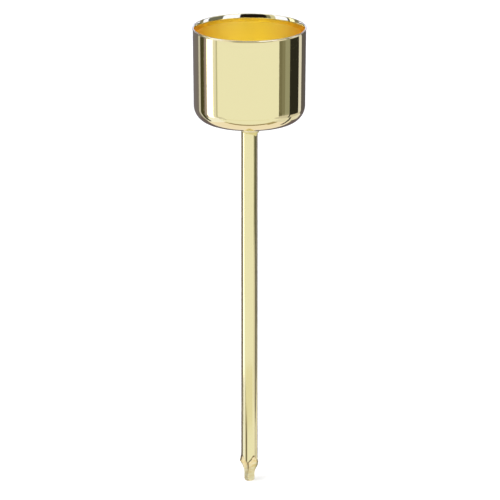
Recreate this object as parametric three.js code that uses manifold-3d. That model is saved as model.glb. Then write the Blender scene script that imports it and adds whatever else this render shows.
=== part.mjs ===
// A candle pick: a drawn metal cup for a taper candle, welded on a pointed wire spike.
// Millimetres, +Z up. The origin is the end of the spike's point, and the axis of the cup and spike is Z.
// A direction round the axis is an angle from +X towards +Y.

import * as THREE from "three";
import { mergeVertices } from "three/addons/utils/BufferGeometryUtils.js";
import Module from "manifold-3d";

// Cup, drawn from sheet.
const CUP_HEIGHT = 21.8; // underside to rim
const BORE_DIAMETER = 23.1; // inside the mouth, for a 22 mm taper candle
const SHEET_THICKNESS = 0.45;
const WALL_DRAFT = degrees(0.65); // the wall widens towards the mouth
const CORNER_RADIUS = 3.6; // outside, where the wall turns into the base
const BASE_SLOPE = degrees(13.5); // the base falls as a shallow cone towards the spike
const WELD_PAD_DIAMETER = 6; // the flat middle of the base

// Rim: the wall's edge is turned out a little and rounded.
const RIM_OVERHANG = 0.11; // how far the rim stands out past the wall
const RIM_EDGE_RADIUS = 0.17;
const RIM_TURN_OUTSIDE = degrees(27);
const RIM_TURN_INSIDE = degrees(28);

// Spike, cut from round wire.
const STEM_LENGTH = 77.9; // point's end to the cup's underside
const STEM_DIAMETER = 3.5;

// Point: four dies pinch the wire to a short square stub, and leave four hollow faces above it.
const STUB_LENGTH = 1.5;
const STUB_WIDTH = 1.52; // across the flats
const STUB_END_ROUNDING = 0.55;
const DIE_RADIUS = 9.5; // of the hollow faces, which run out where they meet the wire's round side
const DIE_DIRECTION = degrees(31); // turns the flats round the axis

// Flash: thin fins that the dies squeezed out between them, at two opposite corners of the point.
const FLASH_SIZE = new THREE.Vector3(1.6, 0.56, 1.5); // outwards, sideways, up
const FLASHES = [
  { proud: 0.28, height: 4.7 }, // past the wire's side, and above the point's end
  { proud: 0.02, height: 3.9 },
];

// Weld: the ring of metal that ran out round the top of the spike.
const WELD_WIDTH = 0.75; // on the cup's underside, out from the spike
const WELD_HEIGHT = 1.55; // down the spike, on average
const WELD_RUN = 0.15; // how much further down it ran on its longer side
const WELD_RUN_DIRECTION = degrees(-50);
const WELD_HOLLOW = 1.4; // how hollow its face is, where 1 is a straight cone
const WELD_TOE = 0.06; // thickness of its lower edge
const WELD_GAP = 0.01; // between separate pieces that the weld joins

// Fineness of round shapes.
const CUP_SIDES = 96;
const WIRE_SIDES = 48; // shared by the spike and the weld, so that their flats line up
const FLASH_SIDES = 20;
const DIE_STEPS = 6;
const CORNER_STEPS = 8;
const RIM_TURN_STEPS = 4;
const RIM_EDGE_STEPS = 7;
const WELD_STEPS = 7;
const END_STEPS = 4;

const stemRadius = STEM_DIAMETER / 2;
const rightAngle = Math.PI / 2;
const cutterReach = 2; // how far a cutting shape runs past what it cuts

function degrees(angle) {
  return (angle * Math.PI) / 180;
}

function point(radius, height) {
  return new THREE.Vector2(radius, height);
}

function direction(angle) {
  return point(Math.cos(angle), Math.sin(angle));
}

// A point at a distance from another, in a direction of the profile's plane.
function offset(from, angle, distance) {
  return from.clone().addScaledVector(direction(angle), distance);
}

// Points of an arc about a centre, from one angle to another, both ends included.
function arc(centre, radius, start, end, steps) {
  return Array.from({ length: steps + 1 }, (_, i) =>
    offset(centre, start + ((end - start) * i) / steps, radius),
  );
}

// Where two lines of the profile's plane cross, each given by a point and a direction.
function crossing(a, alongA, b, alongB) {
  const u = direction(alongA);
  const v = direction(alongB);
  const gap = b.clone().sub(a);
  return a.clone().addScaledVector(u, gap.cross(v) / u.cross(v));
}

function material(color, roughness) {
  return new THREE.MeshStandardMaterial({ color, roughness, metalness: 1 });
}

function piece(name, geometry, look) {
  const mesh = new THREE.Mesh(geometry, look);
  mesh.name = name;
  return mesh;
}

// Turns a profile in the plane of radius and height into a solid of revolution about Z.
function turned(profile, sides) {
  return new THREE.LatheGeometry(profile, sides).rotateX(rightAngle);
}

// The base's slope and the wall's line for a skin that lies a depth inside the cup's outer face.
function cupSkin(depth) {
  const padCorner = point(
    WELD_PAD_DIAMETER / 2 - depth * Math.tan(BASE_SLOPE / 2),
    depth,
  );
  const mouthRadius =
    BORE_DIAMETER / 2 + (SHEET_THICKNESS - depth) / Math.cos(WALL_DRAFT);
  const mouth = point(mouthRadius, CUP_HEIGHT);
  return { padCorner, mouth };
}

// Centre of the arc that turns the base into the wall, shared by both faces of the sheet.
function cornerCentre() {
  const middle = cupSkin(CORNER_RADIUS);
  return crossing(
    middle.padCorner,
    BASE_SLOPE,
    middle.mouth,
    rightAngle - WALL_DRAFT,
  );
}

// The rim's profile from the outer wall, over the edge and down to the inner wall.
function rimProfile() {
  const outer = cupSkin(0).mouth;
  const inner = cupSkin(SHEET_THICKNESS).mouth;
  const wallLine = rightAngle - WALL_DRAFT;

  const edgeCentre = point(
    outer.x + RIM_OVERHANG - RIM_EDGE_RADIUS,
    CUP_HEIGHT - RIM_EDGE_RADIUS,
  );
  const edge = arc(
    edgeCentre,
    RIM_EDGE_RADIUS,
    -RIM_TURN_OUTSIDE,
    Math.PI - RIM_TURN_INSIDE,
    RIM_EDGE_STEPS,
  );

  const outerTurn = RIM_TURN_OUTSIDE - WALL_DRAFT;
  const outerBend = crossing(
    outer,
    wallLine,
    edge[0],
    rightAngle - RIM_TURN_OUTSIDE,
  );
  const outerRadius = edge[0].distanceTo(outerBend) / Math.tan(outerTurn / 2);
  const outside = arc(
    offset(edge[0], -RIM_TURN_OUTSIDE, outerRadius),
    outerRadius,
    Math.PI - WALL_DRAFT,
    Math.PI - RIM_TURN_OUTSIDE,
    RIM_TURN_STEPS,
  );

  const last = edge[edge.length - 1];
  const innerTurn = RIM_TURN_INSIDE - WALL_DRAFT;
  const innerBend = crossing(
    inner,
    wallLine,
    last,
    rightAngle - RIM_TURN_INSIDE,
  );
  const innerRadius = last.distanceTo(innerBend) / Math.tan(innerTurn / 2);
  const inside = arc(
    offset(last, -RIM_TURN_INSIDE, innerRadius),
    innerRadius,
    Math.PI - RIM_TURN_INSIDE,
    Math.PI - WALL_DRAFT,
    RIM_TURN_STEPS,
  );

  return [...outside, ...edge.slice(1, -1), ...inside];
}

// The cup's whole profile: up the outer face, over the rim and down the inner face.
function cupProfile() {
  const centre = cornerCentre();
  const low = BASE_SLOPE - rightAngle;
  const high = -WALL_DRAFT;
  const innerRadius = CORNER_RADIUS - SHEET_THICKNESS;
  return [
    point(0, 0),
    cupSkin(0).padCorner,
    ...arc(centre, CORNER_RADIUS, low, high, CORNER_STEPS),
    ...rimProfile(),
    ...arc(centre, innerRadius, high, low, CORNER_STEPS),
    cupSkin(SHEET_THICKNESS).padCorner,
    point(0, SHEET_THICKNESS),
  ];
}

const wasm = await Module();
wasm.setup();

// A closed geometry as a solid that can be joined and cut.
function solid(geometry) {
  const bare = geometry.clone();
  bare.deleteAttribute("normal");
  bare.deleteAttribute("uv");
  const merged = mergeVertices(bare);
  return new wasm.Manifold(
    new wasm.Mesh({
      numProp: 3,
      vertProperties: new Float32Array(merged.attributes.position.array),
      triVerts: new Uint32Array(merged.index.array),
    }),
  );
}

function geometryOf(made) {
  const mesh = made.getMesh();
  const geometry = new THREE.BufferGeometry();
  geometry.setAttribute(
    "position",
    new THREE.BufferAttribute(new Float32Array(mesh.vertProperties), 3),
  );
  geometry.setIndex(
    new THREE.BufferAttribute(new Uint32Array(mesh.triVerts), 1),
  );
  const faceted = geometry.toNonIndexed();
  faceted.computeVertexNormals();
  return faceted;
}

// The wire's full length, with the end of the point rounded over its corners.
function wire() {
  const cornerRadius = (STUB_WIDTH / 2) * Math.SQRT2;
  const endCentre = point(cornerRadius - STUB_END_ROUNDING, STUB_END_ROUNDING);
  return turned(
    [
      point(0, 0),
      ...arc(endCentre, STUB_END_ROUNDING, -rightAngle, 0, END_STEPS),
      point(stemRadius, STUB_END_ROUNDING + stemRadius - cornerRadius),
      point(stemRadius, STEM_LENGTH),
      point(0, STEM_LENGTH),
    ],
    WIRE_SIDES,
  );
}

// What a pair of facing dies leaves: a straight stub that opens upwards between two arcs.
function betweenDies(angle) {
  const half = STUB_WIDTH / 2;
  const reach = stemRadius + cutterReach;
  const top = STEM_LENGTH + cutterReach;
  const opening = Math.acos(1 - (reach - half) / DIE_RADIUS);
  const outline = new THREE.Shape();
  outline.moveTo(-half, -cutterReach);
  outline.lineTo(half, -cutterReach);
  outline.lineTo(half, STUB_LENGTH);
  outline.absarc(
    half + DIE_RADIUS,
    STUB_LENGTH,
    DIE_RADIUS,
    Math.PI,
    Math.PI - opening,
    true,
  );
  outline.lineTo(reach, top);
  outline.lineTo(-reach, top);
  outline.absarc(
    -half - DIE_RADIUS,
    STUB_LENGTH,
    DIE_RADIUS,
    opening,
    0,
    true,
  );
  return new THREE.ExtrudeGeometry(outline, {
    depth: 2 * reach,
    bevelEnabled: false,
    curveSegments: DIE_STEPS,
  })
    .translate(0, 0, -reach)
    .rotateX(rightAngle)
    .rotateZ(angle);
}

// One fin of squeezed metal, at a corner between two flats.
function flash({ proud, height }, angle) {
  const { x, y, z } = FLASH_SIZE;
  return new THREE.SphereGeometry(0.5, FLASH_SIDES, FLASH_SIDES / 2)
    .scale(x, y, z)
    .translate(stemRadius + proud - x / 2, 0, height)
    .rotateZ(angle);
}

function spikeGeometry() {
  const pinched = solid(wire())
    .intersect(solid(betweenDies(DIE_DIRECTION)))
    .intersect(solid(betweenDies(DIE_DIRECTION + rightAngle)));
  const corner = DIE_DIRECTION + (3 * rightAngle) / 2;
  const finned = FLASHES.reduce(
    (made, fin, i) => made.add(solid(flash(fin, corner + i * Math.PI))),
    pinched,
  );
  return geometryOf(finned);
}

// The weld as a ring with a hollow face, hung from the cup's underside and drawn down on one side.
function weldGeometry() {
  const bore = stemRadius + WELD_GAP;
  const toe = stemRadius + WELD_TOE;
  const face = Array.from({ length: WELD_STEPS + 1 }, (_, i) => {
    const up = i / WELD_STEPS;
    const out = (WELD_WIDTH - WELD_TOE) * up ** WELD_HOLLOW;
    return point(toe + out, WELD_HEIGHT * (up - 1));
  });
  const ring = [point(bore, 0), point(bore, -WELD_HEIGHT)];
  const geometry = turned([...ring, ...face, ring[0]], WIRE_SIDES);
  const place = geometry.attributes.position;
  for (let i = 0; i < place.count; i += 1) {
    const angle = Math.atan2(place.getY(i), place.getX(i));
    const run = WELD_RUN * Math.cos(angle - WELD_RUN_DIRECTION);
    place.setZ(i, place.getZ(i) * (1 + run / WELD_HEIGHT));
  }
  return geometry;
}

const polishedBrass = material(0xeae2b3, 0.08);
const bareWeld = material(0xe2d49c, 0.22);

const cup = piece(
  "candle_cup",
  turned(cupProfile(), CUP_SIDES),
  polishedBrass,
);
cup.position.z = STEM_LENGTH;

const weld = piece("weld_fillet", weldGeometry(), bareWeld);
weld.position.z = STEM_LENGTH - WELD_GAP;

const spike = piece("spike_stem", spikeGeometry(), polishedBrass);

const candlePick = new THREE.Group();
candlePick.add(cup, weld, spike);

export default candlePick;
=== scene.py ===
# The looks of a candle pick: a drawn cup for a taper candle, welded on a pointed wire, all brass plated.
# Metres, +Z up. The origin is the end of the wire's point, and the axis of the cup and the wire is Z.

import math

import bpy
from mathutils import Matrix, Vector


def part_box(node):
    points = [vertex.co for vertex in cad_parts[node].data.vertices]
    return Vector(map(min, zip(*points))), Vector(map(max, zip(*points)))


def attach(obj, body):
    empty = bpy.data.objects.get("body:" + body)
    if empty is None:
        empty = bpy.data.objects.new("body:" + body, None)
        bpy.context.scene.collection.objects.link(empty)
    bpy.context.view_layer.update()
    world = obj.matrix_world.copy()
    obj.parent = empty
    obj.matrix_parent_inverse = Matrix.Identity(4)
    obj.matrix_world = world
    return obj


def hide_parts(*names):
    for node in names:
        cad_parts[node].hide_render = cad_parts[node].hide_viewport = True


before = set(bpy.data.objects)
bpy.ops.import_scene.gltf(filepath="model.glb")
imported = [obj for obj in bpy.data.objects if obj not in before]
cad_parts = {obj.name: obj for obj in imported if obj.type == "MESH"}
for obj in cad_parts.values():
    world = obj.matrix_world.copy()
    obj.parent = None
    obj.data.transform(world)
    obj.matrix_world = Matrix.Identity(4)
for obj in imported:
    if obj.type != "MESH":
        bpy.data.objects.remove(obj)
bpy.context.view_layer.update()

MM = 0.001
RIGHT_ANGLE = math.pi / 2

# Far smaller than anything that is modelled: vertices that are this close together are one.
TINY = 0.001 * MM

# Heights and widths that the frame gives.
RIM_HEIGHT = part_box("candle_cup")[1].z
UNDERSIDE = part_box("spike_stem")[1].z
RIM_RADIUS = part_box("candle_cup")[1].x
WIRE_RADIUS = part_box("spike_stem")[1].y
WELD_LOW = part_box("weld_fillet")[0].z
WELD_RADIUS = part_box("weld_fillet")[1].x

# Cup, drawn from sheet.
SHEET = 0.45 * MM
WALL_DRAFT = math.radians(0.65)
BASE_SLOPE = math.radians(13.5)
CORNER_RADIUS = 3.6 * MM
WELD_PAD_RADIUS = 3.0 * MM
PAD_BLEND_RADIUS = 5.0 * MM
RIM_OVERHANG = 0.11 * MM
RIM_EDGE_RADIUS = 0.17 * MM
RIM_TURN_OUTSIDE = math.radians(27)
RIM_BEND_OUTSIDE = 0.2 * MM
RIM_TURN_INSIDE = math.radians(28)
CUP_SIDES = 288

# Rows of faces along the cup's profile.
PAD_ROWS = 4
BLEND_ROWS = 6
BASE_ROWS = 6
CORNER_ROWS = 24
OUTER_WALL_ROWS = 16
INNER_WALL_ROWS = 24
RIM_BEND_ROWS = 10
RIM_LIP_ROWS = 4
RIM_EDGE_ROWS = 14

# Point of the wire, pinched by four dies.
STUB_LENGTH = 1.5 * MM
STUB_HALF_WIDTH = 0.785 * MM
STUB_END_ROUNDING = 0.55 * MM
DIE_RADIUS = 9.5 * MM
DIE_DIRECTION = math.radians(33)
DIE_EDGE_ROUNDING = 0.06 * MM
FLANK_RISE = 0.15
FIN_HALF_WIDTH = 0.28 * MM
LEFT_FIN = {
    "direction": DIE_DIRECTION + 1.5 * RIGHT_ANGLE,
    "proud": 0.34 * MM,
    "height": 4.2 * MM,
    "half length": 1.15 * MM,
}
RIGHT_FIN = {
    "direction": DIE_DIRECTION - 0.5 * RIGHT_ANGLE,
    "proud": 0.4 * MM,
    "height": 3.45 * MM,
    "half length": 0.9 * MM,
}
# Painted shade in the folds and beside one of them, and a painted dark line up the wire, which is a painted
# reflection.
FOLD_DEPTH = 0.1 * MM
FOLD_HALF_WIDTH = 0.18 * MM
SIDE_SHADE_DIRECTION = DIE_DIRECTION + 2.5 * RIGHT_ANGLE
SIDE_SHADE_HALF_WIDTH = 0.9 * MM
SIDE_SHADE_STRENGTH = 0.45
DARK_LINE_DIRECTION = math.radians(248)
DARK_LINE_TOP = 19 * MM

# Where something at the point starts and where it is full: across a face in radians from its middle, or
# in height.
FLANK_ACROSS = (0.1, 0.42)
FLANK_UP = (3.8 * MM, 4.6 * MM)
SHADED_SIDE_ACROSS = (0.3, -0.1)
SHADED_SIDE_CORNER = (0.4, 0.65)
EDGE_FOLD_UP = (0.8 * MM, 2.6 * MM)
CORNER_FOLD_UP = (1.8 * MM, 3.4 * MM)
SIDE_SHADE_ACROSS = (0.1, 0.8)
DARK_LINE_DOWN = (DARK_LINE_TOP, 0.5 * DARK_LINE_TOP)

# Faces of the wire: its sides, the heights of its rows, and how many rows its short parts have.
WIRE_SIDES = 192
FINE_ROW = 0.05 * MM
COARSE_ROW = 1.0 * MM
PINCHED_LENGTH = 6.6 * MM
STUB_FACE_ROWS = 5
STUB_END_ROWS = 12
FLARE_ROWS = 12
WIRE_TOP_ROWS = 3

# Weld between the cup and the wire.
WELD_HEIGHT = 1.0 * MM
WELD_RUN = 0.25 * MM
WELD_RUN_DIRECTION = math.radians(-25)
WELD_DRIP_DIRECTION = math.radians(-42)
WELD_DRIP_HALF_WIDTH = 0.5 * MM
RUN_AT_DRIP = WELD_RUN * math.cos(WELD_DRIP_DIRECTION - WELD_RUN_DIRECTION)
WELD_DRIP = UNDERSIDE - WELD_LOW - WELD_HEIGHT - RUN_AT_DRIP
WELD_HOLLOW = 0.85
WELD_TOE = 0.06 * MM
WELD_LUMP = 0.05 * MM
WELD_LUMP_SIZE = 1.1 * MM

# Rows of faces round the weld's section.
WELD_FACE_ROWS = 18
WELD_BORE_ROWS = 8
WELD_TOP_ROWS = 5

# Finishes: their colours, and the size and the height of their patterns.
PLATING = "F1E6B0"
# Inside the cup the plating is painted brighter and yellower, as painted light.
INSIDE_LIT_PLATING = "FEF2A2"
INSIDE_LIT_EDGE_TINT = "FFE47C"
TORN_LOW = "F4E298"
TORN_HIGH = "FFF8C4"
# Painted shade in the folds, and the painted dark line up the wire, take this brown.
PAINTED_DARK_BROWN = "543A06"
WELD_YELLOW = "ECE498"
# A painted highlight along the top of the weld.
WELD_TOP_HIGHLIGHT = "FFFBE4"
SHEET_WAVE_SIZE = 3 * MM
SHEET_WAVE_HEIGHT = 0.002 * MM
HAZE_SIZE = 4 * MM
DRAWN_LINE_WIDTH = 0.45 * MM
DRAWN_LINE_HEIGHT = 0.004 * MM
DRAWN_SHORTENING = 0.04
WIRE_WAVE_WIDTH = 2.5 * MM
WIRE_WAVE_HEIGHT = 0.01 * MM
TORN_STEP_SIZE = 0.35 * MM
TORN_STEP_HEIGHT = 0.03 * MM
TORN_SLANT = (0.6, 0.7, 0)
TORN_SHORTENING = 0.25
TORN_ROUGHNESS = 0.34
RIPPLE_SIZE = 0.5 * MM
RIPPLE_HEIGHT = 0.05 * MM


def linear(code):
    """An sRGB hex colour as the linear colour that Blender's sockets take."""
    parts = [int(code[i : i + 2], 16) / 255 for i in (0, 2, 4)]
    return (*[p / 12.92 if p <= 0.04045 else ((p + 0.055) / 1.055) ** 2.4 for p in parts], 1)


def per(size):
    """The scale at which a texture repeats once in this many metres."""
    return 1 / size


def add(tree, kind, inputs=None, **settings):
    """Adds a node with its settings, and sets or links its inputs.

    A node that is given as an input links its first output.
    """
    made = tree.nodes.new(kind)
    for name, value in settings.items():
        setattr(made, name, value)
    for name, value in (inputs or {}).items():
        if isinstance(value, bpy.types.Node):
            value = value.outputs[0]
        if isinstance(value, bpy.types.NodeSocket):
            tree.links.new(value, made.inputs[name])
        else:
            made.inputs[name].default_value = value
    return made


def on_radius(centre, angle, distance):
    """A point of the profile's plane, given as radius and height."""
    return centre[0] + math.cos(angle) * distance, centre[1] + math.sin(angle) * distance


def arc(centre, radius, start, end, steps):
    """Points of an arc from one angle to another, both ends included."""
    return [on_radius(centre, start + (end - start) * i / steps, radius) for i in range(steps + 1)]


def crossing(a, along_a, b, along_b):
    """Where two lines of the profile's plane cross, each given by a point and an angle."""
    ux, uy = math.cos(along_a), math.sin(along_a)
    vx, vy = math.cos(along_b), math.sin(along_b)
    reach = ((b[0] - a[0]) * vy - (b[1] - a[1]) * vx) / (ux * vy - uy * vx)
    return a[0] + ux * reach, a[1] + uy * reach


def line(start, end, steps):
    """Points between two points, without the ends."""
    return [
        (start[0] + (end[0] - start[0]) * i / steps, start[1] + (end[1] - start[1]) * i / steps)
        for i in range(1, steps)
    ]


# Profiles


def cup_skin(depth):
    """The corner of the pad and the mouth, for a skin that lies this deep inside the cup's outer face."""
    pad = (WELD_PAD_RADIUS - depth * math.tan(BASE_SLOPE / 2), UNDERSIDE + depth)
    mouth = (RIM_RADIUS - RIM_OVERHANG - depth / math.cos(WALL_DRAFT), RIM_HEIGHT)
    return pad, mouth


def rim_turn(wall, edge_end, turn, radius=math.inf):
    """The bend that carries a straight wall over to one end of the rim's rounded edge.

    Its radius is no larger than fits between the wall and the edge.
    """
    bend = crossing(wall, RIGHT_ANGLE - WALL_DRAFT, edge_end, RIGHT_ANGLE - turn)
    half = math.tan((turn - WALL_DRAFT) / 2)
    radius = min(radius, math.dist(edge_end, bend) / half)
    end = on_radius(bend, RIGHT_ANGLE - turn, radius * half)
    centre = on_radius(end, -turn, radius)
    points = arc(centre, radius, math.pi - WALL_DRAFT, math.pi - turn, RIM_BEND_ROWS)
    return [*points, *line(end, edge_end, RIM_LIP_ROWS), edge_end]


def pad_blend(pad, radius, turned_up):
    """The small blend between the flat pad and the sloping base."""
    reach = radius * math.tan(BASE_SLOPE / 2)
    centre = (pad[0] - reach, pad[1] + radius)
    points = arc(centre, radius, -RIGHT_ANGLE, BASE_SLOPE - RIGHT_ANGLE, BLEND_ROWS)
    return points if turned_up else points[::-1]


def cup_profile():
    """The sheet's outline: from the axis up the outer face, over the rim and down the inner face.

    A second list says for each point whether it is on the duller inner face.
    """
    outer_pad, outer_mouth = cup_skin(0)
    inner_pad, inner_mouth = cup_skin(SHEET)
    middle_pad, middle_mouth = cup_skin(CORNER_RADIUS)
    corner = crossing(middle_pad, BASE_SLOPE, middle_mouth, RIGHT_ANGLE - WALL_DRAFT)
    low, high = BASE_SLOPE - RIGHT_ANGLE, -WALL_DRAFT

    edge_centre = (RIM_RADIUS - RIM_EDGE_RADIUS, RIM_HEIGHT - RIM_EDGE_RADIUS)
    edge_turned_to = math.pi - RIM_TURN_INSIDE
    edge = arc(edge_centre, RIM_EDGE_RADIUS, -RIM_TURN_OUTSIDE, edge_turned_to, RIM_EDGE_ROWS)
    outside = rim_turn(outer_mouth, edge[0], RIM_TURN_OUTSIDE, RIM_BEND_OUTSIDE)
    inside = rim_turn(inner_mouth, edge[-1], RIM_TURN_INSIDE)[::-1]

    outer_corner = arc(corner, CORNER_RADIUS, low, high, CORNER_ROWS)
    inner_corner = arc(corner, CORNER_RADIUS - SHEET, high, low, CORNER_ROWS)
    outer_blend = pad_blend(outer_pad, PAD_BLEND_RADIUS, True)
    inner_blend = pad_blend(inner_pad, PAD_BLEND_RADIUS - SHEET, False)
    outer_axis, inner_axis = (0, UNDERSIDE), (0, UNDERSIDE + SHEET)

    polished = [
        outer_axis,
        *line(outer_axis, outer_blend[0], PAD_ROWS),
        *outer_blend,
        *line(outer_blend[-1], outer_corner[0], BASE_ROWS),
        *outer_corner,
        *line(outer_corner[-1], outside[0], OUTER_WALL_ROWS),
        *outside,
        *edge[1:-1],
        *inside,
    ]
    satin = [
        *line(inside[-1], inner_corner[0], INNER_WALL_ROWS),
        *inner_corner,
        *line(inner_corner[-1], inner_blend[0], BASE_ROWS),
        *inner_blend,
        *line(inner_blend[-1], inner_axis, PAD_ROWS),
        inner_axis,
    ]
    inward = [0.0] * len(polished) + [1.0] * len(satin)
    return polished + satin, inward


def wire_profile():
    """Half of the wire's outline, with rows close together where the dies pinched it.

    None of its points is on an inner face.
    """
    corner = STUB_HALF_WIDTH * math.sqrt(2)
    end_centre = (corner - STUB_END_ROUNDING, STUB_END_ROUNDING)
    end = arc(end_centre, STUB_END_ROUNDING, -RIGHT_ANGLE, 0, STUB_END_ROWS)
    flare_top = STUB_END_ROUNDING + WIRE_RADIUS - corner
    fine = round((PINCHED_LENGTH - flare_top) / FINE_ROW)
    coarse = round((UNDERSIDE - PINCHED_LENGTH) / COARSE_ROW)
    side = [(WIRE_RADIUS, z) for z in (flare_top, PINCHED_LENGTH, UNDERSIDE)]
    points = [
        (0, 0),
        *line((0, 0), end[0], STUB_FACE_ROWS),
        *end,
        *line(end[-1], side[0], FLARE_ROWS),
        side[0],
        *line(side[0], side[1], fine),
        side[1],
        *line(side[1], side[2], coarse),
        side[2],
        *line(side[2], (0, UNDERSIDE), WIRE_TOP_ROWS),
        (0, UNDERSIDE),
    ]
    return points, [0.0] * len(points)


def weld_profile():
    """The weld's section at its average height: a hollow face outside, and the wire's side inside.

    None of its points is on the cup's inner face.
    """
    width = WELD_RADIUS - WIRE_RADIUS
    shares = [i / WELD_FACE_ROWS for i in range(WELD_FACE_ROWS + 1)]
    face = [
        (
            WIRE_RADIUS + WELD_TOE + (width - WELD_TOE) * share**WELD_HOLLOW,
            UNDERSIDE - WELD_HEIGHT * (1 - share),
        )
        for share in shares
    ]
    top, bottom = (WIRE_RADIUS, UNDERSIDE), (WIRE_RADIUS, face[0][1])
    points = [
        top,
        *line(top, bottom, WELD_BORE_ROWS),
        bottom,
        *face,
        *line(face[-1], top, WELD_TOP_ROWS),
        top,
    ]
    return points, [0.0] * len(points)


# Shapes, each made by a tree of geometry nodes


def new_shape_tree(name, inputs):
    """A geometry node tree with a mesh in and out, and named inputs given as {name: kind}."""
    tree = bpy.data.node_groups.new(name, "GeometryNodeTree")
    face = tree.interface
    face.new_socket("Geometry", in_out="INPUT", socket_type="NodeSocketGeometry")
    for label, kind in inputs.items():
        face.new_socket(label, in_out="INPUT", socket_type=kind)
    face.new_socket("Geometry", in_out="OUTPUT", socket_type="NodeSocketGeometry")
    return tree, add(tree, "NodeGroupInput").outputs, add(tree, "NodeGroupOutput").inputs


def turned_tree():
    """Turns a profile, given as a row of points, round the Z axis and gives it its material.

    A grid has one column of vertices for each side and one more, and each column is laid along the profile.
    The last column lies on the first, and a profile ends on the axis or where it starts, so merging the
    vertices that meet closes the shape.
    """
    tree, given, out = new_shape_tree(
        "turned round the axis",
        {"Sides": "NodeSocketInt", "Finish": "NodeSocketMaterial"},
    )
    points = add(tree, "GeometryNodeAttributeDomainSize", {"Geometry": given["Geometry"]})
    columns = add(tree, "ShaderNodeMath", {0: given["Sides"], 1: 1})
    grid = add(tree, "GeometryNodeMeshGrid", {"Vertices X": columns, "Vertices Y": points})
    index = add(tree, "GeometryNodeInputIndex")
    share = add(tree, "ShaderNodeMath", {0: index, 1: points}, operation="DIVIDE")
    column = add(tree, "ShaderNodeMath", {0: share}, operation="FLOOR")
    before = add(tree, "ShaderNodeMath", {0: column, 1: points}, operation="MULTIPLY")
    row = add(tree, "ShaderNodeMath", {0: index, 1: before}, operation="SUBTRACT")
    turns = add(tree, "ShaderNodeMath", {0: column, 1: given["Sides"]}, operation="DIVIDE")
    angle = add(tree, "ShaderNodeMath", {0: turns, 1: math.tau}, operation="MULTIPLY")
    place = add(
        tree,
        "GeometryNodeSampleIndex",
        {"Geometry": given["Geometry"], 1: add(tree, "GeometryNodeInputPosition"), "Index": row},
        data_type="FLOAT_VECTOR",
    )
    spun = add(tree, "ShaderNodeVectorRotate", {"Vector": place, "Angle": angle}, rotation_type="Z_AXIS")
    moved = add(tree, "GeometryNodeSetPosition", {"Geometry": grid, "Position": spun})
    stored = add(tree, "GeometryNodeInputNamedAttribute", {"Name": "inward"}, data_type="FLOAT")
    inward = add(
        tree,
        "GeometryNodeSampleIndex",
        {"Geometry": given["Geometry"], 1: stored, "Index": row},
        data_type="FLOAT",
    )
    named = add(
        tree,
        "GeometryNodeStoreNamedAttribute",
        {"Geometry": moved, "Name": "inward", "Value": inward},
        data_type="FLOAT",
        domain="POINT",
    )
    closed = add(tree, "GeometryNodeMergeByDistance", {"Geometry": named, "Distance": TINY})
    smooth = add(tree, "GeometryNodeSetShadeSmooth", {"Geometry": closed})
    real = add(tree, "GeometryNodeRealizeInstances", {"Geometry": smooth})
    dressed = add(tree, "GeometryNodeSetMaterial", {"Geometry": real, "Material": given["Finish"]})
    tree.links.new(dressed.outputs[0], out["Geometry"])
    return tree


def bell(tree, value, half_width):
    """One where a value is zero, falling smoothly to nothing a few half widths away."""
    share = add(tree, "ShaderNodeMath", {0: value, 1: half_width}, operation="DIVIDE")
    square = add(tree, "ShaderNodeMath", {0: share, 1: share}, operation="MULTIPLY")
    fade = add(tree, "ShaderNodeMath", {0: square, 1: -1}, operation="MULTIPLY")
    return add(tree, "ShaderNodeMath", {0: math.e, 1: fade}, operation="POWER")


def way_round(tree, angle, direction):
    """The distance along the wire's round side from a direction, negative on one side of it."""
    aside = add(tree, "ShaderNodeMath", {0: angle, 1: direction}, operation="SUBTRACT")
    wrapped = add(tree, "ShaderNodeMath", {0: aside, 1: math.pi, 2: -math.pi}, operation="WRAP")
    return add(tree, "ShaderNodeMath", {0: wrapped, 1: WIRE_RADIUS}, operation="MULTIPLY")


def fin_height(tree, angle, height, fin):
    """How far a fin of squeezed metal stands out, for a vertex at this angle and height."""
    across = bell(tree, way_round(tree, angle, fin["direction"]), FIN_HALF_WIDTH)
    above = add(tree, "ShaderNodeMath", {0: height, 1: fin["height"]}, operation="SUBTRACT")
    along = bell(tree, above, fin["half length"])
    both = add(tree, "ShaderNodeMath", {0: across, 1: along}, operation="MULTIPLY")
    return add(tree, "ShaderNodeMath", {0: both, 1: fin["proud"]}, operation="MULTIPLY")


def round_place(tree):
    """Each vertex's x, y and height, its distance from the axis and its angle round it."""
    split = add(tree, "ShaderNodeSeparateXYZ", {0: add(tree, "GeometryNodeInputPosition")})
    x, y, height = split.outputs
    x_2 = add(tree, "ShaderNodeMath", {0: x, 1: x}, operation="MULTIPLY")
    radius_2 = add(tree, "ShaderNodeMath", {0: y, 1: y, 2: x_2}, operation="MULTIPLY_ADD")
    radius = add(tree, "ShaderNodeMath", {0: radius_2}, operation="SQRT")
    angle = add(tree, "ShaderNodeMath", {0: y, 1: x}, operation="ARCTAN2")
    return x, y, height, radius, angle


def moved_out(tree, geometry, x, y, share, height):
    """Moves each vertex to a share of its distance from the axis, and to a height."""
    new_x = add(tree, "ShaderNodeMath", {0: x, 1: share}, operation="MULTIPLY")
    new_y = add(tree, "ShaderNodeMath", {0: y, 1: share}, operation="MULTIPLY")
    joined = add(tree, "ShaderNodeCombineXYZ", {0: new_x, 1: new_y, 2: height})
    return add(tree, "GeometryNodeSetPosition", {"Geometry": geometry, "Position": joined})


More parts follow.
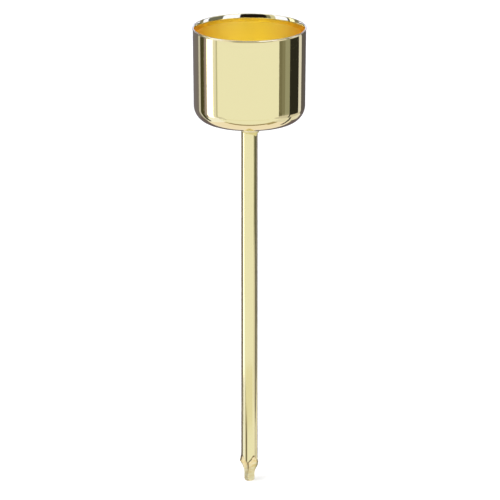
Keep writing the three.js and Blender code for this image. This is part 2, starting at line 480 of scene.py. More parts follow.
def pinched_tree():
    """Pinches a round wire between four dies whose faces curve away from a square stub at its end."""
    tree, given, out = new_shape_tree(
        "pinched by four dies",
        {"Stub half width": "NodeSocketFloat", "Die radius": "NodeSocketFloat"},
    )
    x, y, height, radius, angle = round_place(tree)

    # Each die's face: a flat beside the stub, and above it the arc of a circle that leans away from the axis.
    from_flat = add(tree, "ShaderNodeMath", {0: angle, 1: DIE_DIRECTION}, operation="SUBTRACT")
    quarter = add(
        tree,
        "ShaderNodeMath",
        {0: from_flat, 1: RIGHT_ANGLE / 2, 2: -RIGHT_ANGLE / 2},
        operation="WRAP",
    )
    cosine = add(tree, "ShaderNodeMath", {0: quarter}, operation="COSINE")
    above = add(tree, "ShaderNodeMath", {0: height, 1: STUB_LENGTH}, operation="SUBTRACT")
    climb = add(tree, "ShaderNodeMath", {0: above, 1: 0}, operation="MAXIMUM")
    sine = add(tree, "ShaderNodeMath", {0: climb, 1: given["Die radius"]}, operation="DIVIDE")
    lean = add(tree, "ShaderNodeMath", {0: sine}, operation="ARCSINE")
    lean_cosine = add(tree, "ShaderNodeMath", {0: lean}, operation="COSINE")
    drop = add(tree, "ShaderNodeMath", {0: 1, 1: lean_cosine}, operation="SUBTRACT")
    opened = add(
        tree,
        "ShaderNodeMath",
        {0: drop, 1: given["Die radius"], 2: given["Stub half width"]},
        operation="MULTIPLY_ADD",
    )
    plain = add(tree, "ShaderNodeMath", {0: opened, 1: cosine}, operation="DIVIDE")

    # Towards its upper end each face is a little hollow across, so it runs out in a point.
    turn = add(tree, "ShaderNodeMath", {0: quarter}, operation="ABSOLUTE")
    flank = add(
        tree,
        "ShaderNodeMapRange",
        {"Value": turn, "From Min": FLANK_ACROSS[0], "From Max": FLANK_ACROSS[1]},
        interpolation_type="SMOOTHSTEP",
    )
    upper = add(
        tree,
        "ShaderNodeMapRange",
        {"Value": height, "From Min": FLANK_UP[0], "From Max": FLANK_UP[1]},
        interpolation_type="SMOOTHSTEP",
    )
    raised = add(tree, "ShaderNodeMath", {0: flank, 1: upper}, operation="MULTIPLY")
    raised_by = add(tree, "ShaderNodeMath", {0: raised, 1: opened}, operation="MULTIPLY")
    flat = add(
        tree,
        "ShaderNodeMath",
        {0: raised_by, 1: FLANK_RISE, 2: plain},
        operation="MULTIPLY_ADD",
    )
    pinched = add(
        tree,
        "ShaderNodeMath",
        {0: radius, 1: flat, 2: DIE_EDGE_ROUNDING},
        operation="SMOOTH_MIN",
    )

    # Where the dies worked, and painted shade along the crease at one edge of each face.
    cut = add(tree, "ShaderNodeMath", {0: radius, 1: flat}, operation="SUBTRACT")
    face = add(
        tree,
        "ShaderNodeMapRange",
        {"Value": cut, "From Min": 0, "From Max": FOLD_DEPTH},
        interpolation_type="SMOOTHSTEP",
    )
    edge_line = bell(tree, cut, FOLD_DEPTH)
    shaded_side_across = add(
        tree,
        "ShaderNodeMapRange",
        {"Value": quarter, "From Min": SHADED_SIDE_ACROSS[0], "From Max": SHADED_SIDE_ACROSS[1]},
        interpolation_type="SMOOTHSTEP",
    )
    by_corner = add(
        tree,
        "ShaderNodeMapRange",
        {"Value": quarter, "From Min": SHADED_SIDE_CORNER[0], "From Max": SHADED_SIDE_CORNER[1]},
        interpolation_type="SMOOTHSTEP",
    )
    shaded_side = add(tree, "ShaderNodeMath", {0: shaded_side_across, 1: by_corner}, operation="MAXIMUM")
    over_stub = add(
        tree,
        "ShaderNodeMapRange",
        {"Value": height, "From Min": EDGE_FOLD_UP[0], "From Max": EDGE_FOLD_UP[1]},
        interpolation_type="SMOOTHSTEP",
    )
    high_edge = add(tree, "ShaderNodeMath", {0: edge_line, 1: over_stub}, operation="MULTIPLY")
    edge = add(tree, "ShaderNodeMath", {0: high_edge, 1: shaded_side}, operation="MULTIPLY")

    # Painted shade in the crease between two faces.
    to_corner = add(tree, "ShaderNodeMath", {0: turn, 1: RIGHT_ANGLE / 2}, operation="SUBTRACT")
    corner_way = add(tree, "ShaderNodeMath", {0: to_corner, 1: WIRE_RADIUS}, operation="MULTIPLY")
    corner = bell(tree, corner_way, FOLD_HALF_WIDTH)
    high = add(
        tree,
        "ShaderNodeMapRange",
        {"Value": height, "From Min": CORNER_FOLD_UP[0], "From Max": CORNER_FOLD_UP[1]},
        interpolation_type="SMOOTHSTEP",
    )
    corner_fold = add(tree, "ShaderNodeMath", {0: corner, 1: high}, operation="MULTIPLY")
    face_corner = add(tree, "ShaderNodeMath", {0: corner_fold, 1: face}, operation="MULTIPLY")

    # A painted dark line that runs on up the round wire from the corner between two dies: a painted
    # reflection of a dark edge.
    dark_line_across = bell(tree, way_round(tree, angle, DARK_LINE_DIRECTION), FOLD_HALF_WIDTH)
    low = add(
        tree,
        "ShaderNodeMapRange",
        {"Value": height, "From Min": DARK_LINE_DOWN[0], "From Max": DARK_LINE_DOWN[1]},
        interpolation_type="SMOOTHSTEP",
    )
    dark_line = add(tree, "ShaderNodeMath", {0: dark_line_across, 1: low}, operation="MULTIPLY")
    unpinched = add(tree, "ShaderNodeMath", {0: 1, 1: face}, operation="SUBTRACT")
    painted_dark_line = add(tree, "ShaderNodeMath", {0: dark_line, 1: unpinched}, operation="MULTIPLY")

    # Painted shade beside one of the folds: one face darkens towards it.
    near_corner = bell(tree, way_round(tree, angle, SIDE_SHADE_DIRECTION), SIDE_SHADE_HALF_WIDTH)
    to_fold = add(
        tree,
        "ShaderNodeMapRange",
        {"Value": quarter, "From Min": SIDE_SHADE_ACROSS[0], "From Max": SIDE_SHADE_ACROSS[1]},
        interpolation_type="SMOOTHSTEP",
    )
    side_shade = add(tree, "ShaderNodeMath", {0: near_corner, 1: to_fold}, operation="MULTIPLY")
    high_side_shade = add(tree, "ShaderNodeMath", {0: side_shade, 1: over_stub}, operation="MULTIPLY")
    side_shade_on_face = add(tree, "ShaderNodeMath", {0: high_side_shade, 1: face}, operation="MULTIPLY")
    side_shade_part = add(tree, "ShaderNodeMath", {0: side_shade_on_face, 1: SIDE_SHADE_STRENGTH}, operation="MULTIPLY")

    # The painted shade and the painted dark line, taken together.
    corner_dark = add(tree, "ShaderNodeMath", {0: face_corner, 1: side_shade_part}, operation="MAXIMUM")
    folds = add(tree, "ShaderNodeMath", {0: edge, 1: corner_dark}, operation="MAXIMUM")
    painted_dark_value = add(tree, "ShaderNodeMath", {0: folds, 1: painted_dark_line}, operation="MAXIMUM")

    # The fins, which are torn as the faces are.
    left = fin_height(tree, angle, height, LEFT_FIN)
    right = fin_height(tree, angle, height, RIGHT_FIN)
    fins = add(tree, "ShaderNodeMath", {0: left, 1: right})
    squeezed = add(
        tree,
        "ShaderNodeMapRange",
        {"Value": fins, "From Min": 0, "From Max": FIN_HALF_WIDTH / 2},
        interpolation_type="SMOOTHSTEP",
    )
    rough = add(tree, "ShaderNodeMath", {0: face, 1: squeezed}, operation="MAXIMUM")

    # The material reads how torn each vertex is, and how much painted shade it has.
    with_face = add(
        tree,
        "GeometryNodeStoreNamedAttribute",
        {"Geometry": given["Geometry"], "Name": "pinched", "Value": rough},
        data_type="FLOAT",
        domain="POINT",
    )
    with_folds = add(
        tree,
        "GeometryNodeStoreNamedAttribute",
        {"Geometry": with_face, "Name": "fold", "Value": painted_dark_value},
        data_type="FLOAT",
        domain="POINT",
    )

    finned = add(tree, "ShaderNodeMath", {0: pinched, 1: fins})
    guarded = add(tree, "ShaderNodeMath", {0: radius, 1: TINY}, operation="MAXIMUM")
    share = add(tree, "ShaderNodeMath", {0: finned, 1: guarded}, operation="DIVIDE")
    moved = moved_out(tree, with_folds, x, y, share, height)
    tree.links.new(moved.outputs[0], out["Geometry"])
    return tree


def run_tree():
    """Draws a ring of weld metal further down on one side, with a drip, and makes its face lumpy."""
    tree, given, out = new_shape_tree(
        "run of weld metal",
        {"Run": "NodeSocketFloat", "Drip": "NodeSocketFloat", "Lumps": "NodeSocketFloat"},
    )
    x, y, height, radius, angle = round_place(tree)

    # How far each vertex comes down, from nothing at the cup's underside to all of it at the lower end.
    aside = add(tree, "ShaderNodeMath", {0: angle, 1: WELD_RUN_DIRECTION}, operation="SUBTRACT")
    side = add(tree, "ShaderNodeMath", {0: aside}, operation="COSINE")
    run = add(tree, "ShaderNodeMath", {0: side, 1: given["Run"]}, operation="MULTIPLY")
    drip_shape = bell(tree, way_round(tree, angle, WELD_DRIP_DIRECTION), WELD_DRIP_HALF_WIDTH)
    drop = add(
        tree,
        "ShaderNodeMath",
        {0: drip_shape, 1: given["Drip"], 2: run},
        operation="MULTIPLY_ADD",
    )
    depth = add(tree, "ShaderNodeMath", {0: UNDERSIDE, 1: height}, operation="SUBTRACT")
    share = add(tree, "ShaderNodeMath", {0: depth, 1: WELD_HEIGHT}, operation="DIVIDE")
    drawn = add(tree, "ShaderNodeMath", {0: share, 1: drop}, operation="MULTIPLY")
    lower = add(tree, "ShaderNodeMath", {0: height, 1: drawn}, operation="SUBTRACT")

    # Lumps, on the outer face alone.
    place = add(tree, "GeometryNodeInputPosition")
    lumps = add(tree, "ShaderNodeTexNoise", {"Vector": place, "Scale": per(WELD_LUMP_SIZE), "Detail": 1})
    uneven = add(tree, "ShaderNodeMath", {0: lumps, 1: 0.5}, operation="SUBTRACT")
    lump = add(tree, "ShaderNodeMath", {0: uneven, 1: given["Lumps"]}, operation="MULTIPLY")
    inside_toe = WIRE_RADIUS + 0.5 * WELD_TOE
    outer = add(tree, "ShaderNodeMath", {0: radius, 1: inside_toe}, operation="GREATER_THAN")
    outward = add(tree, "ShaderNodeMath", {0: lump, 1: outer}, operation="MULTIPLY")
    wider = add(tree, "ShaderNodeMath", {0: radius, 1: outward})
    kept_in = add(tree, "ShaderNodeMath", {0: wider, 1: WIRE_RADIUS}, operation="MAXIMUM")
    share_out = add(tree, "ShaderNodeMath", {0: kept_in, 1: radius}, operation="DIVIDE")
    moved = moved_out(tree, given["Geometry"], x, y, share_out, lower)
    tree.links.new(moved.outputs[0], out["Geometry"])
    return tree


def shaped(name, profile, *trees):
    """A mesh object made from a profile by geometry node trees, each given with its inputs, and baked."""
    points, inward = profile
    mesh = bpy.data.meshes.new(name)
    edges = [(i, i + 1) for i in range(len(points) - 1)]
    mesh.from_pydata([(radius, 0, height) for radius, height in points], edges, [])
    mesh.attributes.new("inward", "FLOAT", "POINT").data.foreach_set("value", inward)
    piece = bpy.data.objects.new(name, mesh)
    bpy.context.scene.collection.objects.link(piece)
    for tree, values in trees:
        modifier = piece.modifiers.new(tree.name, "NODES")
        modifier.node_group = tree
        for socket in tree.interface.items_tree:
            if socket.name in values:
                modifier[socket.identifier] = values[socket.name]
    depsgraph = bpy.context.evaluated_depsgraph_get()
    baked = bpy.data.meshes.new_from_object(piece.evaluated_get(depsgraph))
    piece.modifiers.clear()
    piece.data = baked
    baked.name = name

    # The slot of the grid that was turned round the axis is empty, and no face uses it.
    if baked.materials[0] is None:
        baked.materials.pop(index=0)
    return piece


# Materials


def new_material(name):
    """An empty material, its tree and its output."""
    material = bpy.data.materials.new(name)
    material.use_nodes = True
    tree = material.node_tree
    tree.nodes.clear()
    return material, tree, add(tree, "ShaderNodeOutputMaterial")


def bright_brass_plating_on_drawn_sheet():
    """Thin brass plated over polished steel sheet.

    It is a pale yellow mirror outside, and duller inside, where the punch slid.
    """
    material, tree, out = new_material("bright brass plating on drawn sheet")
    place = add(tree, "ShaderNodeTexCoord").outputs["Object"]
    inward = add(tree, "ShaderNodeAttribute", attribute_name="inward").outputs["Fac"]

    # Slow unevenness of the polished sheet, which makes reflected edges wander a little.
    waves = add(tree, "ShaderNodeTexNoise", {"Vector": place, "Scale": per(SHEET_WAVE_SIZE), "Detail": 1})
    bump = add(
        tree,
        "ShaderNodeBump",
        {"Strength": 1, "Distance": SHEET_WAVE_HEIGHT, "Height": waves},
    )

    # Haze: the polish outside varies a little, and the inside keeps the matt face that drawing left.
    clouds = add(tree, "ShaderNodeTexNoise", {"Vector": place, "Scale": per(HAZE_SIZE), "Detail": 4})
    outside = add(
        tree,
        "ShaderNodeMapRange",
        {"Value": clouds, "From Min": 0.35, "From Max": 0.7, "To Min": 0.03, "To Max": 0.07},
    )
    inside = add(
        tree,
        "ShaderNodeMapRange",
        {"Value": clouds, "From Min": 0.35, "From Max": 0.7, "To Min": 0.3, "To Max": 0.32},
    )
    roughness = add(tree, "ShaderNodeMix", {0: inward, 2: outside, 3: inside})

    # Inside, the plating is painted brighter and yellower than outside, as painted light for the light that
    # goes to and fro in the cup; its reflections are tinted yellow, most where they are looked along.
    base_colour = add(
        tree,
        "ShaderNodeMix",
        {0: inward, 6: linear(PLATING), 7: linear(INSIDE_LIT_PLATING)},
        data_type="RGBA",
    ).outputs[2]
    edge_tint = add(
        tree,
        "ShaderNodeMix",
        {0: inward, 6: linear("FFFFFF"), 7: linear(INSIDE_LIT_EDGE_TINT)},
        data_type="RGBA",
    ).outputs[2]
    brass = add(
        tree,
        "ShaderNodeBsdfPrincipled",
        {
            "Base Color": base_colour,
            "Metallic": 1,
            "Roughness": roughness,
            "Specular Tint": edge_tint,
            "Normal": bump,
        },
    )
    tree.links.new(brass.outputs[0], out.inputs["Surface"])
    return material


def bright_brass_plating_on_drawn_wire():
    """Brass plated over wire: lines from the drawing die run along it, and reflections waver with them."""
    material, tree, out = new_material("bright brass plating on drawn wire")
    place = add(tree, "ShaderNodeTexCoord").outputs["Object"]

    # Lines along the wire, drawn as coarse as they need to be to show: about eight across its front.
    stretch = add(tree, "ShaderNodeMapping", {"Vector": place, "Scale": (1, 1, DRAWN_SHORTENING)})
    lines = add(tree, "ShaderNodeTexNoise", {"Vector": stretch, "Scale": per(DRAWN_LINE_WIDTH), "Detail": 3})
    line_bump = add(
        tree,
        "ShaderNodeBump",
        {"Strength": 1, "Distance": DRAWN_LINE_HEIGHT, "Height": lines},
    )

    # Slow waves where the wire was straightened.
    waves = add(tree, "ShaderNodeTexNoise", {"Vector": stretch, "Scale": per(WIRE_WAVE_WIDTH), "Detail": 1})
    bump = add(
        tree,
        "ShaderNodeBump",
        {"Strength": 1, "Distance": WIRE_WAVE_HEIGHT, "Height": waves, "Normal": line_bump},
    )

    # The polish varies from line to line.
    drawn = add(
        tree,
        "ShaderNodeMapRange",
        {"Value": lines, "From Min": 0.3, "From Max": 0.7, "To Min": 0.04, "To Max": 0.09},
    )

    # The dies tore fine steps into their faces, which slant round the point.
    pinched = add(tree, "ShaderNodeAttribute", attribute_name="pinched").outputs["Fac"]
    slant = add(
        tree,
        "ShaderNodeMapping",
        {"Vector": place, "Rotation": TORN_SLANT, "Scale": (TORN_SHORTENING, TORN_SHORTENING, 1)},
    )
    steps = add(tree, "ShaderNodeTexNoise", {"Vector": slant, "Scale": per(TORN_STEP_SIZE), "Detail": 3})
    torn = add(tree, "ShaderNodeMath", {0: steps, 1: pinched}, operation="MULTIPLY")
    torn_bump = add(
        tree,
        "ShaderNodeBump",
        {"Strength": 1, "Distance": TORN_STEP_HEIGHT, "Height": torn, "Normal": bump},
    )
    roughness = add(tree, "ShaderNodeMix", {0: pinched, 2: drawn, 3: TORN_ROUGHNESS})

    # The plating is warmer on the torn faces. Painted shade darkens the folds and beside them, and a painted
    # reflection makes a dark line up the wire.
    fold = add(tree, "ShaderNodeAttribute", attribute_name="fold").outputs["Fac"]
    patches = add(
        tree,
        "ShaderNodeMapRange",
        {"Value": steps, "From Min": 0.35, "From Max": 0.65},
        interpolation_type="SMOOTHSTEP",
    )
    torn_colour = add(
        tree,
        "ShaderNodeMix",
        {0: patches, 6: linear(TORN_LOW), 7: linear(TORN_HIGH)},
        data_type="RGBA",
    ).outputs[2]
    face_colour = add(
        tree,
        "ShaderNodeMix",
        {0: pinched, 6: linear(PLATING), 7: torn_colour},
        data_type="RGBA",
    ).outputs[2]
    colour = add(
        tree,
        "ShaderNodeMix",
        {0: fold, 6: face_colour, 7: linear(PAINTED_DARK_BROWN)},
        data_type="RGBA",
    ).outputs[2]
    brass = add(
        tree,
        "ShaderNodeBsdfPrincipled",
        {"Base Color": colour, "Metallic": 1, "Roughness": roughness, "Normal": torn_bump},
    )
    tree.links.new(brass.outputs[0], out.inputs["Surface"])
    return material


def brass_plating_on_weld():
    """Brass plated over an unground weld: the surface is as it froze, so it is softly rippled."""
    material, tree, out = new_material("brass plating on weld")
    place = add(tree, "ShaderNodeTexCoord").outputs["Object"]
    ripples = add(tree, "ShaderNodeTexNoise", {"Vector": place, "Scale": per(RIPPLE_SIZE), "Detail": 3})
    bump = add(
        tree,
        "ShaderNodeBump",
        {"Strength": 1, "Distance": RIPPLE_HEIGHT, "Height": ripples},
    )
    roughness = add(
        tree,
        "ShaderNodeMapRange",
        {"Value": ripples, "From Min": 0.3, "From Max": 0.7, "To Min": 0.32, "To Max": 0.5},
    )

    # A painted highlight: the bead is painted palest along its top.
    height = add(tree, "ShaderNodeSeparateXYZ", {0: place}).outputs[2]
    near_top = add(
        tree,
        "ShaderNodeMapRange",
        {"Value": height, "From Min": UNDERSIDE - WELD_HEIGHT, "From Max": UNDERSIDE},
        interpolation_type="SMOOTHSTEP",
    )
    colour = add(
        tree,
        "ShaderNodeMix",
        {0: near_top, 6: linear(WELD_YELLOW), 7: linear(WELD_TOP_HIGHLIGHT)},
        data_type="RGBA",
    ).outputs[2]
    brass = add(
        tree,
        "ShaderNodeBsdfPrincipled",
        {"Base Color": colour, "Metallic": 1, "Roughness": roughness, "Normal": bump},
    )
    tree.links.new(brass.outputs[0], out.inputs["Surface"])
    return material


def glowing_card(name, colour, strength, mirrored):
    """A plain glowing card. Where the brass mirrors it once, it shows at its mirrored strength."""
    material, tree, out = new_material(name)

    # The depth is 1 after one mirror, and 2 or more where light goes to and fro inside the cup.
    depth = add(tree, "ShaderNodeLightPath").outputs["Ray Depth"]
    first = add(tree, "ShaderNodeMath", {0: depth, 1: 1.5}, operation="LESS_THAN")
    brightness = add(tree, "ShaderNodeMix", {0: first, 2: strength, 3: mirrored})
    glow = add(tree, "ShaderNodeEmission", {"Color": linear(colour), "Strength": brightness})
    tree.links.new(glow.outputs[0], out.inputs["Surface"])
    return material


def white_studio_floor():
    """Matt white painted board. It can't be seen from below, so that the object can."""
    material, tree, out = new_material("matt white painted board")
    paint = add(
        tree,
        "ShaderNodeBsdfPrincipled",
        {"Base Color": linear("FFFFFF"), "Roughness": 1, "Specular IOR Level": 0},
    )
    clear = add(tree, "ShaderNodeBsdfTransparent")
    below = add(tree, "ShaderNodeNewGeometry").outputs["Backfacing"]
    both = add(tree, "ShaderNodeMixShader", {0: below, 1: paint, 2: clear})
    tree.links.new(both.outputs[0], out.inputs["Surface"])
    return material


# The pick itself

turned = turned_tree()

cup = shaped(
    "drawn_cup",
    cup_profile(),
    (turned, {"Sides": CUP_SIDES, "Finish": bright_brass_plating_on_drawn_sheet()}),
)
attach(cup, "root")
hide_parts("candle_cup")

wire = shaped(
    "pointed_wire",
    wire_profile(),
    (turned, {"Sides": WIRE_SIDES, "Finish": bright_brass_plating_on_drawn_wire()}),
    (pinched_tree(), {"Stub half width": STUB_HALF_WIDTH, "Die radius": DIE_RADIUS}),
)
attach(wire, "root")
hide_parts("spike_stem")

weld = shaped(
    "weld_bead",
    weld_profile(),
    (turned, {"Sides": WIRE_SIDES, "Finish": brass_plating_on_weld()}),
    (run_tree(), {"Run": WELD_RUN, "Drip": WELD_DRIP, "Lumps": WELD_LUMP}),
)
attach(weld, "root")
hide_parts("weld_fillet")


# The studio

# What the brass mirrors: cards that stand round the pick, and boards that lie under and over it.
# A direction is in degrees round from the camera's side, to the right. Other sizes are in millimetres.
NEAR = 250
FAR = 1000
TABLE = -60
GROUND = -275
CLOTH_FOOT = -218
WALL_FOOT = -209
WALL_TOP = -100
CEILING = 1240
DEGREES_A_FACE = 3

# The edges of the cards that stand higher, each given as distance and height.
LOW_EDGE = (FAR, -60)
LAMP_EDGE = (FAR, 960)
LAMP_FRONT = (600, 1130)
REAR_LAMP_LOW = (FAR, 220)
REAR_LAMP_HIGH = (FAR, 390)

# A colour and a strength.
REFLECTOR = ("BAC3FF", 2.3)
SOFTBOX = ("E6EAFF", 4.3)

# Each card is swept from one direction to another, between a low and a high edge: distance and height.
# Its colour and its strength follow.
SWEPT_CARDS = [
    # To the left, near.
    ("mauve wall left", -180, -126.5, (NEAR, -55), (NEAR, 40), "7A7685", 1.0),
    ("cream trim left", -126.5, -118.6, (170, TABLE + 2), (NEAR, 40), "CACBDA", 1.0),
    ("dark brown cloth", -118.6, -106.8, (150, TABLE + 2), (NEAR, 40), "4A4836", 1.0),
    ("light brown cloth", -106.8, -103.5, (220, TABLE + 2), (NEAR, 40), "6A635E", 1.0),
    ("pink edge", -103.5, -96.4, (NEAR, -60), (NEAR, 40), "A69CB4", 1.0),
    ("window", -96.4, -79.4, (NEAR, -47), (NEAR, 40), "FFFFFF", 2.6),
    ("cream board left", -79.4, -71.9, (NEAR, -28), (NEAR, 40), "EEEEF6", 1.0),
    ("board joint", -71.9, -68, (NEAR, -28), (NEAR, 40), "C8C9C4", 1.0),
    ("board end", -58, -50, (NEAR, TABLE), (NEAR, -49), "A8A090", 1.0),
    ("table rise front", -50, 44, (NEAR, TABLE), (NEAR, -45), "EEEDE2", 1.0),
    ("table rise left", -135, -68, (NEAR + 5, TABLE), (NEAR + 5, 0), "E3E7FF", 1.33),
    # In front and to the right, far.
    ("cream board", -68, 63.4, (FAR, GROUND), (FAR, WALL_TOP), "F8FBFF", 1.0),
    ("dark olive fold", 63.4, 71, (FAR - 5, CLOTH_FOOT), (FAR - 5, -202), "6A6856", 1.0),
    ("dark olive cloth", 63.4, 71, (FAR, CLOTH_FOOT), (FAR, WALL_TOP), "7C7A6C", 1.0),
    ("olive cloth", 71, 78.7, (FAR, CLOTH_FOOT), (FAR, WALL_TOP), "88877A", 1.0),
    ("light olive cloth", 78.7, 91.5, (FAR, CLOTH_FOOT), (FAR, WALL_TOP), "9EA099", 1.0),
    ("black cloth", 91.5, 121.5, (FAR, GROUND), (FAR, WALL_TOP), "2E2E2C", 1.0),
    ("cream trim right", 121.5, 134, (FAR, -240), (FAR, WALL_TOP), "E8E8FA", 1.0),
    ("mauve cloth behind right", 134, 180, (60, 42), (60, 64), "6E6672", 1.0),
    ("grey wall", 134, 180, (FAR, WALL_FOOT), (FAR, WALL_TOP), "625E68", 1.0),
    ("grey wall's foot", 134, 180, (255, TABLE), (FAR, WALL_FOOT), "625E68", 1.0),
    ("table rise right", 61, 180, (FAR + 5, GROUND), (FAR + 5, -200), "D6D3D8", 1.0),
    # Higher, where only the rim looks.
    ("camera side shade", -37, 20, (FAR, WALL_TOP), (FAR, CEILING), "1E1814", 1.0),
    ("right reflector", 20, 58, LOW_EDGE, LAMP_EDGE, *REFLECTOR),
    ("grey curtain right", 58, 96, LOW_EDGE, LAMP_EDGE, "74787F", 1.0),
    ("right reflector edge", 96, 112, LOW_EDGE, LAMP_EDGE, *REFLECTOR),
    ("grey curtain behind right", 112, 125, LOW_EDGE, LAMP_EDGE, "8A8880", 1.0),
    ("left reflector edge", -46, -37, LOW_EDGE, LAMP_EDGE, "8A8A84", 1.0),
    ("left reflector shade", -57, -46, LOW_EDGE, LAMP_EDGE, "D8D8D0", 1.0),
    ("left reflector", -88, -57, LOW_EDGE, LAMP_EDGE, *REFLECTOR),
    ("left gap", -94, -88, LOW_EDGE, LAMP_EDGE, "5A5856", 1.0),
    ("left reflector behind", -109, -94, LOW_EDGE, LAMP_EDGE, "FFFFFF", 1.4),
    ("grey curtain behind left", -125, -109, LOW_EDGE, LAMP_EDGE, "8A8880", 1.0),
    ("grey wall behind", 180, 233, (FAR, WALL_FOOT), (FAR, WALL_TOP), "625E68", 1.0),
    ("grey wall behind higher", 125, 235, (FAR, WALL_TOP), REAR_LAMP_LOW, "6E6A72", 1.0),
    ("rear reflector", 125, 235, REAR_LAMP_LOW, REAR_LAMP_HIGH, *REFLECTOR),
    ("left softbox", -125, -37, LAMP_EDGE, LAMP_FRONT, *SOFTBOX),
    ("right softbox", 20, 125, LAMP_EDGE, LAMP_FRONT, *SOFTBOX),
    ("grey curtain behind", 125, 235, REAR_LAMP_HIGH, (FAR, CEILING), "8A888E", 1.0),
]

# Each board has its left, right, near and far edge, as the camera sees them, and its height.
# Its colour and its strength follow.
LYING_BOARDS = [
    ("front board", -250, 250, -250, -84, TABLE, "F8FBFF", 1.0),
    ("front board's edge", -95, 70, -84, -56, TABLE, "A0927A", 1.0),
    ("front board's edge right", 70, 250, -84, -36, TABLE, "B4A88E", 1.0),
    ("dark strip", 86, 250, 38, 62, TABLE + 3, "2A2820", 1.0),
    ("front board's edge left", -250, -95, -84, -56, TABLE, "D2CCB8", 1.0),
    ("pale plinth", -250, 70, -56, 98, TABLE, "FDF5FE", 1.0),
    ("pale plinth right", 70, 250, -36, 98, TABLE, "FDF5FE", 1.0),
    ("mauve cloth behind", -250, 140, 98, 250, TABLE + 2, "6E6672", 1.0),
    ("table left", -250, -129, -84, 250, TABLE + 1, "E3E7FF", 1.33),
    ("table right", 135, 250, -84, 250, TABLE + 1, "EBEAF1", 1.0),
    ("ground", -FAR, FAR, -FAR, FAR, GROUND, "D6D3D8", 1.0),
    ("black cloth's foot", 520, FAR, 22, 84, GROUND + 3, "2E2E2C", 1.0),
    ("ground in front", -500, 500, -FAR, 0, GROUND + 1, "F8FBFF", 1.0),
    ("ground farther in front", -FAR, 780, -FAR, -480, GROUND + 2, "F8FBFF", 1.0),
    ("camera side shade above", -560, 270, -FAR, -550, CEILING, "1E1814", 1.0),
    ("grey curtain behind above", -FAR, FAR, 600, FAR, CEILING, "8A888E", 1.0),
    ("overhead softbox", -FAR, FAR, -FAR, FAR, CEILING + 10, "D4DAFF", 3.5),
]

# The softboxes light the cup's inside, where their light goes to and fro and is dimmed each time.
# Mirrored once, they show at these lower strengths, so that they don't burn out the rim.
MIRRORED = {
    "left softbox": 1.5,
    "right softbox": 1.5,
    "overhead softbox": 1.7,
}


def glossy_only(name, points, faces, colour, strength):
    """A card of the studio that only the brass shows."""
    mesh = bpy.data.meshes.new(name)
    mesh.from_pydata([tuple(c * MM for c in point) for point in points], [], faces)
    mesh.materials.append(glowing_card(name, colour, strength, MIRRORED.get(name, strength)))
    made = bpy.data.objects.new(name.replace(" ", "_").replace("'", ""), mesh)
    bpy.context.scene.collection.objects.link(made)
    made.visible_camera = False
    made.visible_diffuse = False
    made.visible_transmission = False
    made.visible_shadow = False


for name, start, end, low, high, colour, strength in SWEPT_CARDS:
    columns = max(1, round((end - start) / DEGREES_A_FACE))
    turns = [math.radians(start + (end - start) * i / columns) for i in range(columns + 1)]
    points = [(r * math.sin(t), -r * math.cos(t), z) for t in turns for r, z in (low, high)]
    faces = [(2 * i, 2 * i + 2, 2 * i + 3, 2 * i + 1) for i in range(columns)]
    glossy_only(name, points, faces, colour, strength)

for name, left, right, near, far, height, colour, strength in LYING_BOARDS:
    points = [(left, near, height), (right, near, height), (right, far, height), (left, far, height)]
    glossy_only(name, points, [(0, 1, 2, 3)], colour, strength)

# The floor lies level with the pick's point.
FLOOR_SIZE = 6.0

half = FLOOR_SIZE / 2
floor_mesh = bpy.data.meshes.new("floor")
floor_mesh.from_pydata(
    [(-half, -half, 0), (half, -half, 0), (half, half, 0), (-half, half, 0)],
    [],
    [(0, 1, 2, 3)],
)
floor_mesh.materials.append(white_studio_floor())
floor = bpy.data.objects.new("floor", floor_mesh)
bpy.context.scene.collection.objects.link(floor)
floor.visible_glossy = False


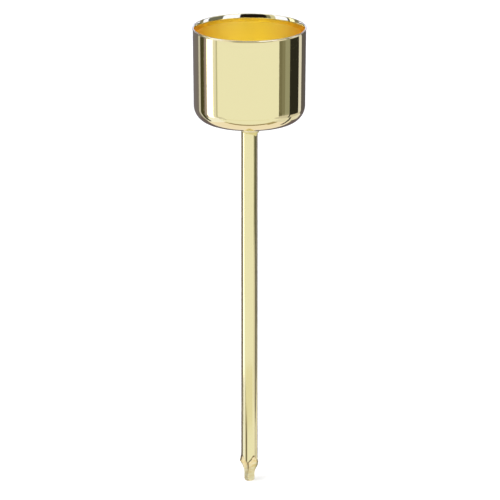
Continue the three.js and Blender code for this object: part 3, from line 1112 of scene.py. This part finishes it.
def white_world(ambient):
    """A white room: plain white where it is seen or mirrored, and soft light on everything else."""
    world = bpy.data.worlds.new("white room")
    world.use_nodes = True
    tree = world.node_tree
    tree.nodes.clear()
    path = add(tree, "ShaderNodeLightPath").outputs
    seen, mirrored, through = path["Is Camera Ray"], path["Is Glossy Ray"], path["Is Transmission Ray"]
    either = add(tree, "ShaderNodeMath", {0: seen, 1: mirrored}, operation="MAXIMUM")
    shown = add(tree, "ShaderNodeMath", {0: either, 1: through}, operation="MAXIMUM")
    strength = add(tree, "ShaderNodeMix", {0: shown, 2: ambient, 3: 1.0})
    light = add(tree, "ShaderNodeBackground", {"Color": linear("FFFFFF"), "Strength": strength})
    out = add(tree, "ShaderNodeOutputWorld")
    tree.links.new(light.outputs[0], out.inputs["Surface"])
    bpy.context.scene.world = world


white_world(ambient=0.92)

PICK_MIDDLE = Vector((0, 0, 50 * MM))


def soft_lamp(name, place, size, power):
    """A large square lamp that faces the pick. The brass doesn't show it: it shows the cards instead."""
    data = bpy.data.lights.new(name, "AREA")
    data.size = size
    data.energy = power
    lamp = bpy.data.objects.new(name, data)
    lamp.location = place
    aim = PICK_MIDDLE - Vector(place)
    lamp.rotation_mode = "QUATERNION"
    lamp.rotation_quaternion = aim.to_track_quat("-Z", "Y")
    lamp.visible_glossy = False
    bpy.context.scene.collection.objects.link(lamp)


soft_lamp("overhead_lamp", place=(-0.4, -0.3, 1.1), size=0.7, power=6)

# The camera looks down a little from far away, so the view is nearly parallel.
CAMERA_HEIGHT_ANGLE = math.radians(15.3)
CAMERA_DISTANCE = 2.4
FRAME_WIDTH = 106.18 * MM
FRAME_CENTRE = (0.12 * MM, 0, 50.9 * MM)
SENSOR_WIDTH = 36

camera_data = bpy.data.cameras.new("camera")
camera_data.sensor_width = SENSOR_WIDTH
camera_data.lens = SENSOR_WIDTH * CAMERA_DISTANCE / FRAME_WIDTH
camera_data.clip_start = 0.1
camera_data.clip_end = 50
camera = bpy.data.objects.new("camera", camera_data)
bpy.context.scene.collection.objects.link(camera)
back = Vector((0, -math.cos(CAMERA_HEIGHT_ANGLE), math.sin(CAMERA_HEIGHT_ANGLE)))
camera.location = Vector(FRAME_CENTRE) + back * CAMERA_DISTANCE
camera.rotation_mode = "QUATERNION"
camera.rotation_quaternion = (-back).to_track_quat("-Z", "Y")
bpy.context.scene.camera = camera

bpy.context.scene.view_settings.view_transform = "Standard"

# Light goes to and fro many times inside the plated cup, and each bounce deepens its colour.
BOUNCES = 16
bpy.context.scene.cycles.max_bounces = BOUNCES
bpy.context.scene.cycles.glossy_bounces = BOUNCES
